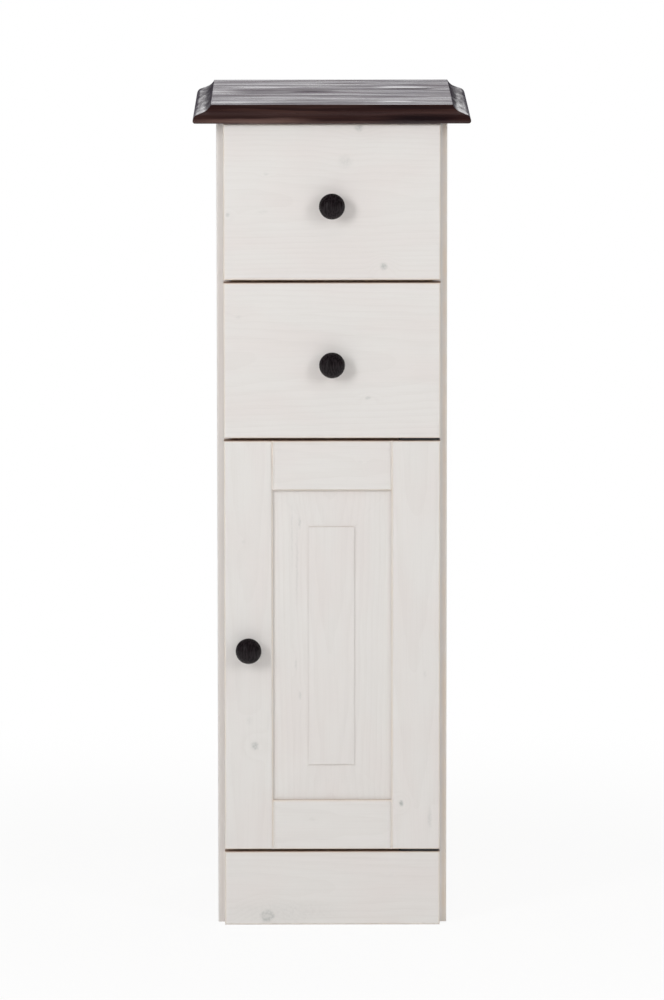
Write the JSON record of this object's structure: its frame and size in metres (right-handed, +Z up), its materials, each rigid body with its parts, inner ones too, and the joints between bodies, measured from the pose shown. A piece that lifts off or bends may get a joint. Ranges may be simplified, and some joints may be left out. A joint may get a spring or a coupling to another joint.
{
  "type": "bathroom cabinet",
  "caption": "Narrow white-glazed pine bathroom cabinet with a dark moulded top, roller-runner drawers over a raised-panel door on pivot hinges, and a plinth.",
  "frame": {"origin": "on the floor, under the middle of the overall box", "axes": "+Z up, -Y out of the drawer fronts and door, +X to the right as the fronts are faced"},
  "size_m": [0.3, 0.346, 0.9],
  "materials": {
    "glazed_pine": "white satin glaze over pine",
    "stained_pine": "dark brown stain, satin lacquer",
    "raw_pine": "bare planed pine",
    "hardboard": "pressed fibre sheet",
    "dowel_beech": "bare beech",
    "knob_black": "black satin paint",
    "runner_epoxy": "white epoxy",
    "roller_nylon": "white nylon",
    "bush_nylon": "natural nylon",
    "plain_steel": "zinc plated",
    "hinge_black": "black electrocoat",
    "catch_plastic": "off-white moulded case",
    "bumper_rubber": "clear soft pad"
  },
  "bodies": {
    "carcass": {"top_board": "stained_pine", "side_panel_left": "glazed_pine", "side_panel_right": "glazed_pine", "top_rail_front": "raw_pine", "top_rail_back": "raw_pine", "drawer_divider_rail": "raw_pine", "fixed_shelf": "raw_pine", "bottom_board": "raw_pine", "back_panel": "hardboard", "plinth_board": "glazed_pine", "plinth_blocks": "raw_pine", "carcass_dowels": "dowel_beech", "loose_shelf": "raw_pine", "shelf_pins": "plain_steel", "upper_runner_left": "runner_epoxy", "upper_runner_right": "runner_epoxy", "lower_runner_left": "runner_epoxy", "lower_runner_right": "runner_epoxy", "upper_hinge_plate": "hinge_black", "lower_hinge_plate": "hinge_black", "hinge_pins": "plain_steel", "magnet_catch": "catch_plastic"},
    "upper_drawer": {"upper_drawer_front": "glazed_pine", "upper_drawer_side_left": "raw_pine", "upper_drawer_side_right": "raw_pine", "upper_drawer_back": "raw_pine", "upper_drawer_bottom": "hardboard", "upper_drawer_knob": "knob_black", "upper_drawer_knob_screw": "plain_steel", "upper_drawer_runner_left": "runner_epoxy", "upper_drawer_runner_right": "runner_epoxy"},
    "lower_drawer": {"lower_drawer_front": "glazed_pine", "lower_drawer_side_left": "raw_pine", "lower_drawer_side_right": "raw_pine", "lower_drawer_back": "raw_pine", "lower_drawer_bottom": "hardboard", "lower_drawer_knob": "knob_black", "lower_drawer_knob_screw": "plain_steel", "lower_drawer_runner_left": "runner_epoxy", "lower_drawer_runner_right": "runner_epoxy"},
    "door": {"door_stile_left": "glazed_pine", "door_stile_right": "glazed_pine", "door_rail_top": "glazed_pine", "door_rail_bottom": "glazed_pine", "door_panel": "glazed_pine", "door_knob": "knob_black", "door_knob_screw": "plain_steel", "door_bushes": "bush_nylon", "catch_plate": "plain_steel", "door_bumpers": "bumper_rubber"},
    "upper_front_rollers": {"upper_front_rollers": "roller_nylon"},
    "upper_rear_rollers": {"upper_rear_rollers": "roller_nylon"},
    "lower_front_rollers": {"lower_front_rollers": "roller_nylon"},
    "lower_rear_rollers": {"lower_rear_rollers": "roller_nylon"}
  },
  "joints": [
    {"name": "upper_drawer_slide", "type": "slide", "parent": "carcass", "child": "upper_drawer", "axis": [0, -1, 0], "range_m": [0, 0.2]},
    {"name": "lower_drawer_slide", "type": "slide", "parent": "carcass", "child": "lower_drawer", "axis": [0, -1, 0], "range_m": [0, 0.2]},
    {"name": "door_swing", "type": "hinge", "parent": "carcass", "child": "door", "pos_m": [0.112, -0.1385, 0.30975], "axis": [0, 0, 1], "range_deg": [0, 110]},
    {"name": "upper_front_roller_turn", "type": "hinge", "parent": "carcass", "child": "upper_front_rollers", "pos_m": [0, -0.114, 0.732], "axis": [1, 0, 0], "range_deg": [-10, 1540]},
    {"name": "upper_rear_roller_turn", "type": "hinge", "parent": "upper_drawer", "child": "upper_rear_rollers", "pos_m": [0, 0.1119, 0.72905], "axis": [1, 0, 0], "range_deg": [-10, 1540]},
    {"name": "lower_front_roller_turn", "type": "hinge", "parent": "carcass", "child": "lower_front_rollers", "pos_m": [0, -0.114, 0.5595], "axis": [1, 0, 0], "range_deg": [-10, 1540]},
    {"name": "lower_rear_roller_turn", "type": "hinge", "parent": "lower_drawer", "child": "lower_rear_rollers", "pos_m": [0, 0.1119, 0.55655], "axis": [1, 0, 0], "range_deg": [-10, 1540]}
  ],
  "couplings": [
    {"joint": "upper_front_roller_turn", "follows": "upper_drawer_slide", "rad_per_m": 133.33},
    {"joint": "upper_rear_roller_turn", "follows": "upper_drawer_slide", "rad_per_m": 133.33},
    {"joint": "lower_front_roller_turn", "follows": "lower_drawer_slide", "rad_per_m": 133.33},
    {"joint": "lower_rear_roller_turn", "follows": "lower_drawer_slide", "rad_per_m": 133.33}
  ]
}
